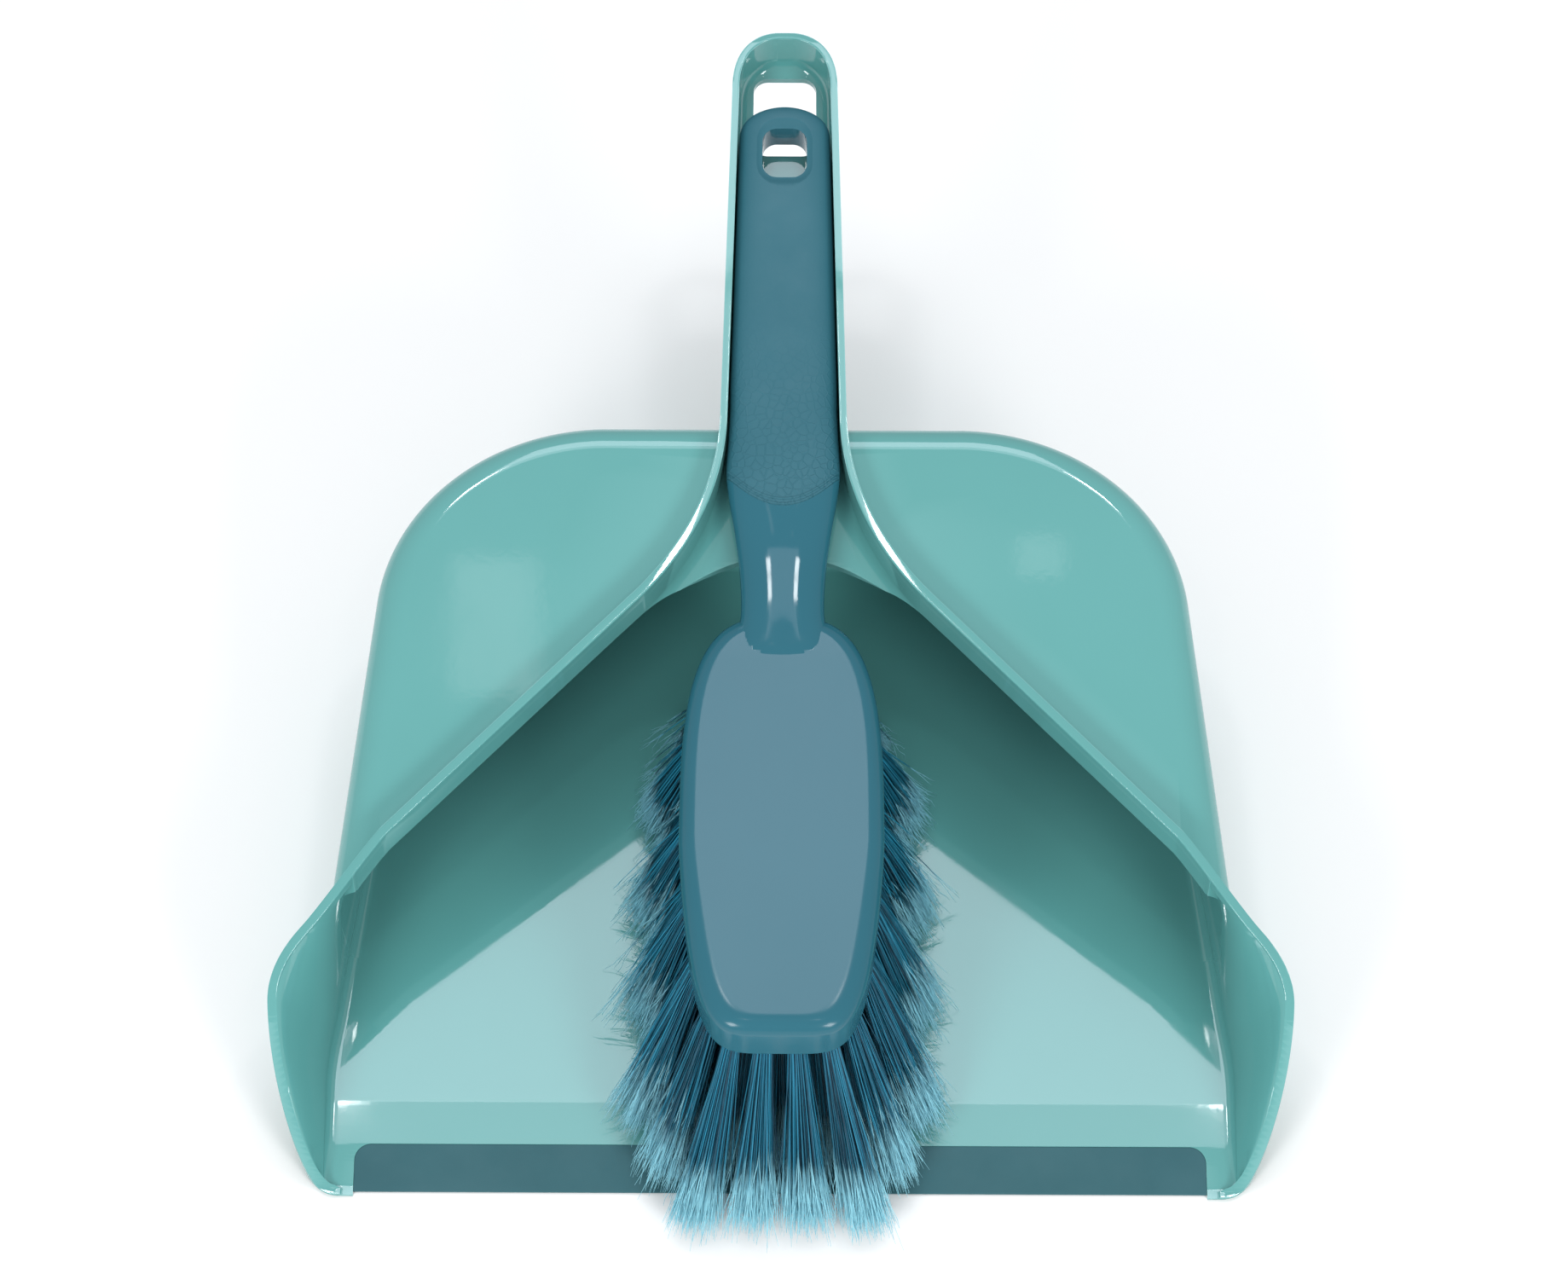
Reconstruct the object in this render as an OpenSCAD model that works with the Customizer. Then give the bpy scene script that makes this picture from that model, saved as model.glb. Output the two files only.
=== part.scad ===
// Dust pan and brush set: a hooded pan with flared wings and a channel handle,
// and a hand brush whose handle lies in that channel.
// X is across the pan, +Y runs from the lip to the handle, +Z is up.
// The origin is on the flat underside of the pan, rest_y behind the front of the lip.

/* [Pan] */
// Half width of the pan's front edge where its corners start to round off, mm
corner_x = 117; // [115:0.5:118]
// Half width of the pan across the tips of the wings, mm
wing_x = 133.6; // [128:0.1:138]
// Distance of the widest point of the wings behind the lip, mm
wing_y = 37; // [34:1:40]
// Half width of the hood just behind the wings, mm
hood_x = 118.3; // [115:0.1:120]
// How much each side of the hood closes in per mm towards the back
hood_taper = 0.122; // [0.08:0.002:0.16]
// Back of the hood behind the lip, mm
hood_y = 194; // [188:0.1:205]
// Extent of each back corner of the hood in plan across the pan, mm
hood_corner_x = 62; // [50:1:66]
// Extent of each back corner of the hood in plan along the pan, mm
hood_corner_y = 53; // [45:1:58]
// Radius of the edge between the hood's walls and its roof, mm
hood_edge_r = 9; // [6:0.5:12]
// Wall of the moulding, mm
wall = 2.4; // [1.8:0.1:3]
// Floor thickness behind the ramp, mm
floor_t = 2.8; // [2.4:0.1:3.2]
// Height of the collar above the underside of the roof, mm
collar_h = 9.2; // [8:0.1:10]
// Width of the flat rim and thickness of the collar, mm
collar_t = 2.4; // [2.2:0.1:2.8]
// Distance of the rest plane's centre behind the lip, mm
rest_y = 100; // [90:5:110]

/* [Lip] */
// Depth of the soft lip from front to back, mm
lip_y = 12.9; // [10:0.1:15]
// Half width of the lip at its front edge, mm
lip_x = 112.3; // [110:0.1:113]
// Radius of the lip's back corners, mm
lip_r = 4.4; // [2:0.1:6]

/* [Pan handle] */
// End of the handle behind the lip, mm
handle_y = 303; // [298:1:310]
// Rise of the handle per mm of length
handle_rise = 0.2; // [0.16:0.01:0.22]
// Half width of the channel's outside where it leaves the hood, mm
handle_x = 17; // [16.8:0.1:17.4]
// How much each side of the handle closes in per mm towards its end
handle_taper = 0.0266; // [0.022:0.0002:0.028]
// Wall of the channel, mm
channel_wall = 1.9; // [1.7:0.1:2.1]
// Depth of the channel below its rim, mm
channel_depth = 13; // [13:0.1:14]
// Width of the hanging hole in the pan's handle, mm
pan_hole_w = 17.4; // [14:0.2:18]
// Length of the hanging hole in the pan's handle, mm
pan_hole_l = 23.5; // [18:0.5:24]

/* [Brush] */
// Top of the brush head above the ground, mm
head_top = 66; // [65:0.5:67]
// Thickness of the brush head, mm
head_t = 15; // [14:0.5:16]
// Half width of the brush head, mm
head_x = 26.7; // [25:0.1:28]
// Width of the rounded shoulder round the top of the brush head, mm
head_edge = 4.8; // [3:0.1:6]
// Height of that shoulder, mm
head_shoulder = 4.2; // [3:0.1:5]
// How strongly the brush head narrows to its front
head_taper = 0.11; // [0.06:0.01:0.12]
// Front of the brush head behind the lip, mm
head_front = 16.5; // [15:0.5:18]
// Back of the brush head behind the lip, mm
head_back = 139; // [137:0.5:141]
// End of the brush handle behind the lip, mm
brush_y = 282.5; // [281:0.5:284]
// Thickness of the brush handle, mm
stick_t = 12; // [11:0.1:12]
// Height of the brush handle's top above its parting line, mm
stick_crown = 4.6; // [4:0.1:5]
// Clearance between the brush handle and the channel on each side, mm
stick_gap = 0.45; // [0.4:0.05:0.6]
// Thickness of the soft grip, mm
grip_t = 1.2; // [1:0.1:1.5]
// Width of the hanging hole in the brush, mm
brush_hole_w = 12.2; // [10:0.2:13]
// Length of the hanging hole in the brush, mm
brush_hole_l = 14.6; // [12:0.2:15]

/* [Bristles] */
// Number of tufts in each row, from the front of the head
row_counts = [4, 5, 6, 5, 6, 5, 6, 5, 6, 5];
// Distance between tufts in a row, mm
tuft_pitch = 8.2; // [8:0.1:8.6]
// Distance between rows, mm
row_pitch = 10.8; // [10.4:0.1:11]
// Front row of tufts behind the lip, mm
row_front = 21.8; // [21.5:0.1:23]
// Forward lean of the front row, degrees
lean_front = 30; // [24:1:32]
// Forward lean of the back row, degrees
lean_back = -8; // [-10:1:-4]
// Sideways lean of a tuft per mm from the middle, degrees
lean_side = 0.9; // [0.7:0.05:1]
// Radius of a tuft's hole, mm
hole_r = 2.1; // [2:0.05:2.3]
// Depth of a tuft's hole, mm
hole_d = 8; // [7:0.5:9]
// Radius of a tuft where it leaves the head, mm
tuft_r = 1.9; // [1.7:0.05:1.95]
// Radius of a tuft at its tips, mm
tip_r = 4.2; // [3.5:0.1:4.6]
// Height of the lowest bristle tips above the ground, mm
tip_z = 4.2; // [4:0.1:6]

/* [Colours] */
pan_colour = "#7DBDB9"; // moulded pan
lip_colour = "#466F77"; // soft lip
brush_colour = "#3F7A8C"; // glossy brush moulding
grip_colour = "#46717F"; // soft grip
bristle_colour = "#2F7F9C"; // bristles
anchor_colour = "#B9BDC0"; // steel anchors

/* [Hidden] */
$fn = 48;
rows = len(row_counts);
tuft_names = [for (r = [0:rows - 1], p = [0:row_counts[r] - 1]) str("tuft_", two(r + 1), "_", p + 1)];

v_end = [40, 142.5];      // where the straight collar starts to bend into the handle
wing_back = [125, 54.7];  // where the wing's tip turns back to the hood
wing_end = [105, 80];     // where the wing's rim becomes the straight collar
wing_end_z = 54;          // height of the rim there
wing_drop = 33.4;         // how far the rim falls below the hood's slope at the lip
hood_rise = 0.245;        // slope of the hood's roof and collars
bend_end = [handle_x, 192]; // where the bend ends and the handle starts
front_y = -1.1;           // front edge of the corners beside the lip
rise_y = 1;               // where the rim starts to rise behind that edge
round_y = 286;            // where the end of the handle starts to round off
apex_y = 159.5;           // front edge of the channel's floor at the middle
ramp_y = 25;              // crease between the ramp and the floor
ramp_z = 2.0;             // height of the ramp where the lip starts
lip_z = 0.6;              // height of the lip's front edge
tongue_z = 0.8;           // thickness of the tongue under the lip
tongue_y = 5;             // front edge of that tongue
head_mid = 73;            // widest point of the brush head
stick_round_y = 274.5;    // where the end of the brush handle starts to round off
brush_hole_y = 268.2;     // middle of the brush's hanging hole
grip_front_y = 166.8;     // front of the arc where the grip ends, at the middle
grip_side_y = 179;        // the same at the sides
tuft_root = 2;            // how far a tuft stays clear of its hole's bottom
head_z = head_top - head_t;
slope = atan(handle_rise);
gap = 0.05;               // between a soft part and the moulding under it

function two(n) = n < 10 ? str("0", n) : str(n);
function mix(a, b, t) = a + (b - a) * t;
function clamp(t) = min(1, max(0, t));
function ease(t) = clamp(t) * clamp(t) * (3 - 2 * clamp(t));
function bez2(a, b, c, t) = mix(mix(a, b, t), mix(b, c, t), t);
function bez3(a, b, c, d, t) = mix(bez2(a, b, c, t), bez2(b, c, d, t), t);
function flat_norm(v) = v / norm(v);

// Catmull-Rom through points [y, value] that are in order of y
function seg(p, y, i = 0) = i >= len(p) - 2 || y < p[i + 1][0] ? i : seg(p, y, i + 1);
function tangent(p, i) =
    let(a = p[max(0, i - 1)], b = p[min(len(p) - 1, i + 1)]) (b[1] - a[1]) / (b[0] - a[0]);
function curve(p, y) =
    let(i = seg(p, y), w = p[i + 1][0] - p[i][0], t = clamp((y - p[i][0]) / w))
    (2 * t^3 - 3 * t^2 + 1) * p[i][1] + (t^3 - 2 * t^2 + t) * w * tangent(p, i)
    + (3 * t^2 - 2 * t^3) * p[i + 1][1] + (t^3 - t^2) * w * tangent(p, i + 1);

// A closed solid through rings of equally many points
module loft(rings) {
    n = len(rings[0]);
    m = len(rings);
    sides = [for (k = [0:m - 2], i = [0:n - 1])
        each [[k * n + i, (k + 1) * n + (i + 1) % n, k * n + (i + 1) % n],
              [k * n + i, (k + 1) * n + i, (k + 1) * n + (i + 1) % n]]];
    caps = [[for (i = [0:n - 1]) i], [for (i = [n - 1:-1:0]) (m - 1) * n + i]];
    polyhedron([for (r = rings) each r], concat(sides, caps), convexity = 8);
}
// A ring at one y, from half a profile of [x, z] points that starts at the bottom
function ring_y(half, y) = concat(
    [for (i = [len(half) - 1:-1:0]) [half[i][0], y, half[i][1]]],
    [for (p = half) [-p[0], y, p[1]]]);

// Height of the rim above the ground: a quick rise along the wing, then the hood's slope,
// which eases into the slope of the handle
function rim_z(y) = wing_end_z + (
    y < wing_end[1] ? hood_rise * (max(y, rise_y) - wing_end[1])
        - wing_drop * (1 - clamp((y - rise_y) / (wing_end[1] - rise_y)))^2.8
    : y < 150 ? hood_rise * (y - wing_end[1])
    : y < 190 ? hood_rise * (y - wing_end[1]) - (hood_rise - handle_rise) * (y - 150)^2 / 80
    : hood_rise * (190 - wing_end[1]) - (hood_rise - handle_rise) * 20 + handle_rise * (y - 190));
function roof_z(y) = rim_z(100) - collar_h + wall + hood_rise * (y + 3.5 - 100);
function floor_z(y) =
    y < lip_y ? mix(lip_z, ramp_z, y / lip_y)
    : y < ramp_y ? mix(ramp_z, floor_t, (y - lip_y) / (ramp_y - lip_y)) : floor_t;

// Rim in plan, as [x, y]: wing, wing to collar, straight collar, bend, handle, rounded end
function rim_wing(t) = bez3([corner_x, front_y], [corner_x + 9, front_y + 0.2],
    [wing_x - 0.4, wing_y * 0.54], [wing_x, wing_y], t);
function rim_turn(t) =
    t < 0.5 ? bez2([wing_x, wing_y], [wing_x + 0.3, wing_y + 8.5], wing_back, 2 * t)
    : bez3(wing_back, wing_back + [-5.8, 6.1], wing_end + [4.3, -4.8], wing_end, 2 * t - 1);
function rim_bend(t) = bez2(v_end, [handle_x + 0.8, 163.9], bend_end, t);
function handle_half(y) = handle_x - handle_taper * (y - bend_end[1]);
function end_half(y, y0, y1, n) = (1 - clamp((y - y0) / (y1 - y0))^n)^(1 / n);

// Point on the inner edge of the flat rim, between two nearby points of its outer edge
function inner(a, b) = (a + b) / 2 + collar_t * flat_norm([a[1] - b[1], b[0] - a[0]]);
function wing_inner(t) = inner(rim_wing(t - 0.005), rim_wing(t + 0.005));
function turn_inner(t) = inner(rim_turn(t - 0.005), rim_turn(t + 0.005));

// Steps along a rounded end
end_steps = [0, 0.3, 0.5, 0.65, 0.78, 0.88, 0.95, 0.985];
tray_path = concat([for (i = [0:10]) rim_wing(i / 10)], [for (i = [1:8]) rim_turn(i * 0.095)]);
// these points lie between those of tray_path, so that no two facets of the rim nearly meet
void_path = concat([for (i = [0:9]) wing_inner((i + 0.5) / 10)],
    [for (i = [0:7]) turn_inner((i + 0.5) * 0.095)], [turn_inner(0.76)]);
strip_path = concat([for (t = [0.75, 0.83, 0.92, 1]) rim_turn(t)], [v_end],
    [for (i = [1:8]) rim_bend(i / 8)]);

// Half of the tray's cross-section, up to the rim point p: floor from z0, fillet, flared wall.
// out is how far outside the wall's inner face this is.
function wall_half(p, z0, out) =
    let(s = ease((p[1] - 24) / 42), h = max(0.4, rim_z(p[1]) - z0), f = min(3, 0.2 * h),
        foot = mix(min(120.3 + out, p[0] - 0.4), hood_side(p[1]) - wall + out, ease((p[1] - 20) / 28)),
        a = [foot, z0 + f])
    concat([[60, z0]], [for (i = [0:3]) bez2([foot - f, z0], [foot, z0], a, i / 4)],
        [for (i = [0:7]) bez3(a, [foot + mix(0.8, 0.1, s), z0 + h * mix(0.32, 0.55, s)],
            mix([p[0], z0 + h], [foot, z0 + h * 0.8], mix(0.3, 0.75, s)), [p[0], z0 + h], i / 7)]);
function tray_ring(p) = ring_y(wall_half(p, 0, 2.6), p[1]);
function tray_void_ring(p, y) =
    let(h = wall_half(p, floor_z(p[1]), 0), top = h[len(h) - 1])
    ring_y(concat(h, [[top[0] + 0.3, top[1] + 60]]), y);

// Plan of the hood, in by d from the walls
function hood_side(y) = hood_x - hood_taper * (y - 70);
function hood_plan(y0, d) =
    let(a = atan(hood_taper * hood_corner_y / hood_corner_x), cy = hood_y - hood_corner_y,
        cx = hood_side(cy + hood_corner_y * sin(a)) - hood_corner_x * cos(a),
        half = concat([[hood_side(y0) - d / cos(atan(hood_taper)), y0]],
            [for (i = [0:14]) let(t = mix(a, 88.5, i / 14))
                [cx + (hood_corner_x - d) * cos(t), cy + (hood_corner_y - d) * sin(t)]]))
    concat(half, [for (i = [len(half) - 1:-1:0]) [-half[i][0], half[i][1]]]);
function hood_ring(y0, d, z) = [for (p = hood_plan(y0, d)) [p[0], p[1], z]];
function roof_ring(y0, d, drop) = [for (p = hood_plan(y0, d)) [p[0], p[1], roof_z(p[1]) - drop]];
module hood_block(y0, in, z0, foot_r) {
    r = hood_edge_r - in;
    loft(concat(
        [for (i = [0:3]) hood_ring(y0, in + foot_r * (1 - sin(30 * i)), z0 + foot_r * (1 - cos(30 * i)))],
        [for (i = [0:6]) roof_ring(y0, in + r * (1 - cos(15 * i)), in + r * (1 - sin(15 * i)))]));
}

// Everything in front of the hood's edge and of the channel's floor, seen from above
module mouth_plan() {
    v0 = turn_inner(1);
    v1 = v_end + v0 - wing_end;
    dir = flat_norm(v1 - v0);
    turn = v1 + dir * (apex_y - v1[1]) / dir[1];
    half = concat([[115, 58], [115, 62]], [for (t = [0.79, 0.86, 0.93]) turn_inner(t)],
        [v0], [for (i = [0:10]) bez2(v1, turn, [0, apex_y], i / 10)]);
    polygon(concat(half, [for (i = [len(half) - 2:-1:0]) [-half[i][0], half[i][1]]]));
}

// Half of the channel's cross-section with its bottom depth below the rim and corners of radius r
function channel_half(x, z, depth, r) = concat([[max(1, x - r - 0.5), z - depth]],
    [for (i = [1:6]) [x - r + r * sin(15 * i) - 0.5 * (1 - i / 6), z - depth + r * (1 - cos(15 * i))]]);
function strip_depth(y) = mix(collar_h, channel_depth + 2.3, ease((y - 140) / 18));
function strip_ring(x, y) =
    ring_y(concat(channel_half(x, rim_z(y), strip_depth(y), mix(1, min(5, x * 0.3), ease((y - 140) / 18))),
        [[x, rim_z(y)]]), y);

module channel_block() {
    loft(concat(
        [for (p = strip_path) strip_ring(p[0], p[1])],
        [for (u = end_steps)
            let(y = round_y + (handle_y - round_y) * u)
            strip_ring(handle_half(round_y) * end_half(y, round_y, handle_y, 2.4), y)]));
}
// The open inside of the channel; its floor curves up at the end
module channel_void() {
    y1 = handle_y - channel_wall;
    function up(y) = 4.5 * (1 - sqrt(1 - clamp((y - y1 + 5) / 5)^2 * 0.96));
    function void_ring(x, y) = ring_y(concat(
        channel_half(x, rim_z(y), channel_depth - up(y), min(4, x * 0.3)), [[x, rim_z(y) + 40]]), y);
    loft(concat(
        [for (i = [0:8]) let(p = rim_bend(i / 8), q = rim_bend(min(1, i / 8 + 0.01)) - rim_bend(i / 8 - 0.01),
            t = mix(collar_t, channel_wall, i / 8)) void_ring(p[0] - t * norm(q) / q[1], p[1])],
        [for (u = end_steps)
            let(y = round_y + (y1 - round_y) * u)
            void_ring((handle_half(round_y) - channel_wall) * end_half(y, round_y, y1, 2.4), y)]));
}
module rounded_slot(w, l, r, h) {
    linear_extrude(height = h, center = true)
        hull()
            for (x = [-1, 1], y = [-1, 1])
                translate([x * (w / 2 - r), y * (l / 2 - r)])
                    circle(r, $fn = 24);
}
// Plan of the lip, with rounded back corners, grown by g
module lip_plan(g) {
    r = lip_r + g;
    half = [for (i = [0:6]) [lip_x - lip_r + r * cos(15 * i), lip_y - lip_r + r * sin(15 * i)]];
    polygon(concat([[-lip_x - g, -5], [lip_x + g, -5]], half,
        [for (i = [6:-1:0]) [-half[i][0], half[i][1]]]));
}
// The lip's profile from front to back, swept across the pan inside its plan
module lip_shape(profile, g) {
    intersection() {
        rotate([90, 0, 90])
            linear_extrude(height = 300, center = true)
                polygon(profile);
        translate([0, 0, -2])
            linear_extrude(height = 12)
                lip_plan(g);
    }
}

module pan_shape() {
    difference() {
        union() {
            difference() {
                union() {
                    hood_block(64, 0, 0, 4);
                    loft([for (p = tray_path) tray_ring(p)]);
                }
                hood_block(63.5, wall, floor_t, 3);
                loft(concat([for (y = [-5, 0.6]) tray_void_ring([corner_x - 1.4, 1.3], y)],
                    [for (p = void_path) tray_void_ring(p, p[1])]));
            }
            channel_block();
        }
        // mouth of the hood, between the collars
        translate([0, 0, 40])
            linear_extrude(height = 80)
                mouth_plan();
        channel_void();
        // hanging hole
        translate([0, 286, rim_z(286) - channel_depth])
            rotate([slope, 0, 0])
                rounded_slot(pan_hole_w, pan_hole_l, 4, 12);
        // pocket over the tongue that the lip is moulded on
        lip_shape([[-4, -1], [tongue_y, -1], [tongue_y, tongue_z], [30, tongue_z], [30, 8], [-4, 8]], gap);
    }
}

// ---- sub-parts ----

module pan_body() {
    color(pan_colour)
        translate([0, -rest_y, 0])
            resize([0, 0, 0])
                pan_shape();
}

module pan_lip() {
    color(lip_colour)
        translate([0, -rest_y, 0])
            lip_shape([[0, 0], [tongue_y - gap, 0], [tongue_y - gap, tongue_z + gap],
                [lip_y, tongue_z + gap], [lip_y, ramp_z], [0, lip_z]], 0);
}

// Brush: top line, half width, and superellipse cross-sections along y
function crest_z(y) = rim_z(200) - 0.6 + handle_rise * (y - 200);
neck_widths = [[116, 15.5], [127, 14], [133, 12.1], [139, 11.1], [150, 11.5], [161, 12.9],
    [171, 14.6], [178, 15.3], [186, 14.85], [195, 14.4]];
function stick_half(y) = y < 195 ? curve(neck_widths, y)
    : min(14.4, handle_half(y) - channel_wall - stick_gap) * end_half(y, stick_round_y, brush_y, 2.3);
function power(c, n) = sign(c) * abs(c)^(2 / n);
// in: how far the section is drawn in, on its top and sides only
function stick_ring(y, in) =
    let(w = max(0.8, stick_half(y) - in), e = end_half(y, 276, brush_y + 0.4, 3),
        top = stick_crown * e - in, low = (stick_t - stick_crown) * e, mid = crest_z(y) - stick_crown,
        n = mix(2.05, 2.5, ease((y - 140) / 40)))
    [for (i = [0:31]) let(a = -360 * i / 32)
        [w * power(cos(a), 2.7), y,
            mid + (sin(a) >= 0 ? max(0.3, top) : low) * power(sin(a), sin(a) >= 0 ? n : 3)]];
stick_ys = concat([for (y = [116:3:196]) y], [205, 220, 235, 250, 262, 270, stick_round_y],
    [for (u = [0.3, 0.5, 0.68, 0.82, 0.92, 0.975]) stick_round_y + (brush_y - stick_round_y) * u]);
module stick(in) {
    loft([for (y = stick_ys) stick_ring(y, in)]);
}
// The slab of space above the parting line and behind the arc where the grip ends
module grip_zone(g) {
    half = [for (i = [0:10]) [17.5 * i / 10, mix(grip_front_y, grip_side_y, (i / 10)^2) - g]];
    multmatrix([[1, 0, 0, 0], [0, 1, 0, 0], [0, handle_rise, 1, crest_z(0) - stick_crown - g]])
        linear_extrude(height = 20)
            polygon(concat([[-17.5, 300], [17.5, 300]], [for (i = [10:-1:0]) half[i]],
                [for (i = [1:10]) [-half[i][0], half[i][1]]]));
}
module brush_hole(g) {
    translate([0, brush_hole_y, crest_z(brush_hole_y)])
        rotate([slope, 0, 0])
            rounded_slot(brush_hole_w + 2 * g, brush_hole_l + 2 * g, 4 + g, 60);
}
function head_half(y, d) =
    let(front = head_mid - head_front - d, back = head_back - head_mid - d, s = max(0, head_mid - y))
    y < head_mid
        ? (head_x - d - head_taper * (1 + 0.09 * d) * s^2 / (s + 10)) * (1 - clamp(s / front)^5)^(1 / 5)
        : (head_x - d) * (1 - clamp((y - head_mid) / back)^3.2)^(1 / 3.2);
function head_ring(d, z) =
    let(ys = concat([for (i = [0:11]) head_mid - (head_mid - head_front - d) * cos(7.5 * i)],
        [for (i = [0:10]) head_mid + (head_back - head_mid - d) * sin(9 * i)]))
    concat([for (y = ys) [head_half(y, d), y, z]],
        [for (i = [len(ys) - 2:-1:1]) [-head_half(ys[i], d), ys[i], z]]);
module head() {
    loft(concat([head_ring(0.8, head_z), head_ring(0, head_z + 0.8)],
        [for (i = [0:5])
            head_ring(head_edge * (1 - cos(18 * i)), head_top - head_shoulder * (1 - sin(18 * i)))]));
}

// Tufts: row r from the front, place p across, with the leans that make the bristles fan out
function tuft_x(r, p) = tuft_pitch * (p - (row_counts[r] - 1) / 2);
function tuft_y(r) = row_front + row_pitch * r;
function tuft_lean(r) = mix(lean_front, lean_back, r / (rows - 1));
// unit vector down the tuft
function tuft_dir(r, p) = flat_norm([tan(lean_side * tuft_x(r, p)), -tan(tuft_lean(r)), -1]);
module at_tuft(r, p) {
    d = tuft_dir(r, p);
    translate([tuft_x(r, p), tuft_y(r), head_z])
        rotate([0, acos(d[2]), atan2(d[1], d[0])])
            children();
}
function tuft_l(r, p) =
    let(d = tuft_dir(r, p)) (head_z - tip_z - tip_r * sqrt(1 - d[2]^2)) / -d[2];

module brush_shape() {
    difference() {
        union() {
            head();
            difference() {
                stick(0);
                grip_zone(gap);
            }
            stick(grip_t + gap);
        }
        brush_hole(0);
        for (r = [0:rows - 1], p = [0:row_counts[r] - 1])
            at_tuft(r, p)
                translate([0, 0, -hole_d])
                    cylinder(r = hole_r, h = hole_d + 3, $fn = 12);
    }
}

module brush_body() {
    color(brush_colour)
        translate([0, -rest_y, 0])
            resize([0, 0, 0])
                brush_shape();
}

module brush_grip() {
    color(grip_colour)
        translate([0, -rest_y, 0])
            resize([0, 0, 0])
                difference() {
                    intersection() {
                        stick(0);
                        grip_zone(0);
                    }
                    stick(grip_t);
                    brush_hole(0);
                }
}

// Flat steel staples that hold the folded bristles in the bottoms of their holes
module tuft_anchors() {
    color(anchor_colour)
        translate([0, -rest_y, 0])
            for (r = [0:rows - 1], p = [0:row_counts[r] - 1])
                at_tuft(r, p)
                    translate([0, 0, -hole_d + 0.9])
                        cube([0.5, 2.8, 1.4], center = true);
}

module tuft(r, p) {
    root = hole_d - tuft_root;
    color(bristle_colour)
        translate([0, -rest_y, 0])
            at_tuft(r, p)
                translate([0, 0, -root])
                    union() {
                        cylinder(r = tuft_r, h = root);
                        translate([0, 0, root])
                            cylinder(r1 = tuft_r, r2 = tip_r, h = tuft_l(r, p));
                    }
}

pan_body();
pan_lip();
brush_body();
brush_grip();
tuft_anchors();
for (r = [0:rows - 1], p = [0:row_counts[r] - 1])
    tuft(r, p);
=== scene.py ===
"""Looks of a dust pan and brush set. Lengths are in millimetres and y is counted from the lip's
front, until mesh_object moves each mesh to the frame in metres."""

import math

import bmesh
import bpy
import numpy as np
from mathutils import Matrix, Vector


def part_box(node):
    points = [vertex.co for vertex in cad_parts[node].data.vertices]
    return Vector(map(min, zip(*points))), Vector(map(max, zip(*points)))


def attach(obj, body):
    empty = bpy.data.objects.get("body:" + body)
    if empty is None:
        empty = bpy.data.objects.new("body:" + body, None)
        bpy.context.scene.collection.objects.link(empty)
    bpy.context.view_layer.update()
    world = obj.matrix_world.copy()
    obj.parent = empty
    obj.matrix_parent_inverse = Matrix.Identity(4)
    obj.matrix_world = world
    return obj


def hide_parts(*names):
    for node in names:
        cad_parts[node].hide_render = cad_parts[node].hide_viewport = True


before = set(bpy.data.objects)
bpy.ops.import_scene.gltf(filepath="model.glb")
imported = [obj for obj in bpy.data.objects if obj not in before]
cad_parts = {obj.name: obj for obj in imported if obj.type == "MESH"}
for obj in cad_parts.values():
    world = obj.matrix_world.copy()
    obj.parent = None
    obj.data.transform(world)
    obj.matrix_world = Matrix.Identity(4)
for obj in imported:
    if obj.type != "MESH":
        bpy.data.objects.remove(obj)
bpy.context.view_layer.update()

# ---------------------------------------------------------------- dimensions, mm
MM = 0.001
lip_lo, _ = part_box("pan_lip")
REST_Y = -lip_lo.y / MM  # from the frame's origin forward to the lip's front

CORNER_X = 117.0  # the rim's front corner
WING_X = 133.6
WING_Y = 37.0  # where the wings are widest
HOOD_X = 118.3
HOOD_TAPER = 0.122
HOOD_Y = 194.0
HOOD_CORNER = (62.0, 53.0)  # half axes of the hood's rounded corner
HOOD_EDGE_R = 9.0
WALL = 2.4
FLOOR_T = 2.8
COLLAR_H = 9.2
COLLAR_T = 2.4
LIP_Y = 12.9
LIP_X = 112.3
LIP_R = 4.4
HANDLE_Y = 303.0
HANDLE_RISE = 0.2
HANDLE_X = 17.0
HANDLE_TAPER = 0.0266
HANDLE_POWER = 2.4  # superellipse power of the handle's end
CHANNEL_WALL = 1.9
CHANNEL_DEPTH = 13.0
PAN_HOLE = (17.4, 23.5)
PAN_HOLE_Y = 286.0
HOLE_R = 4.0
HEAD_TOP = 66.0
HEAD_T = 15.0
HEAD_X = 26.7
HEAD_EDGE = 4.8
HEAD_SHOULDER = 4.2
HEAD_FOOT_R = 0.8
HEAD_TAPER = 0.11
HEAD_FRONT = 16.5
HEAD_BACK = 139.0
BRUSH_Y = 282.5
STICK_Y = 116.0
STICK_T = 12.0
STICK_CROWN = 4.6
STICK_X = 14.4
STICK_ROUND_Y = 274.5
STICK_THIN_Y = 276.0
STICK_GAP = 0.45
GRIP_T = 1.2
GRIP_FRONT_Y = 166.8
GRIP_SIDE_Y = 179.0
GRIP_SIDE_X = 17.5
BRUSH_HOLE = (12.2, 14.6)
BRUSH_HOLE_Y = 268.2
ROW_COUNTS = (4, 5, 6, 5, 6, 5, 6, 5, 6, 5)  # tufts in each row, from the front
TUFT_PITCH = 8.2
ROW_PITCH = 10.8
ROW_FRONT = 21.8
LEAN_FRONT = 30.0  # degrees forward, front row
LEAN_BACK = -8.0  # and back row
LEAN_SIDE = 0.9  # degrees outwards for each mm from the middle
TUFT_R = 1.9
TIP_R = 4.2
TIP_Z = 4.2

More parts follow.
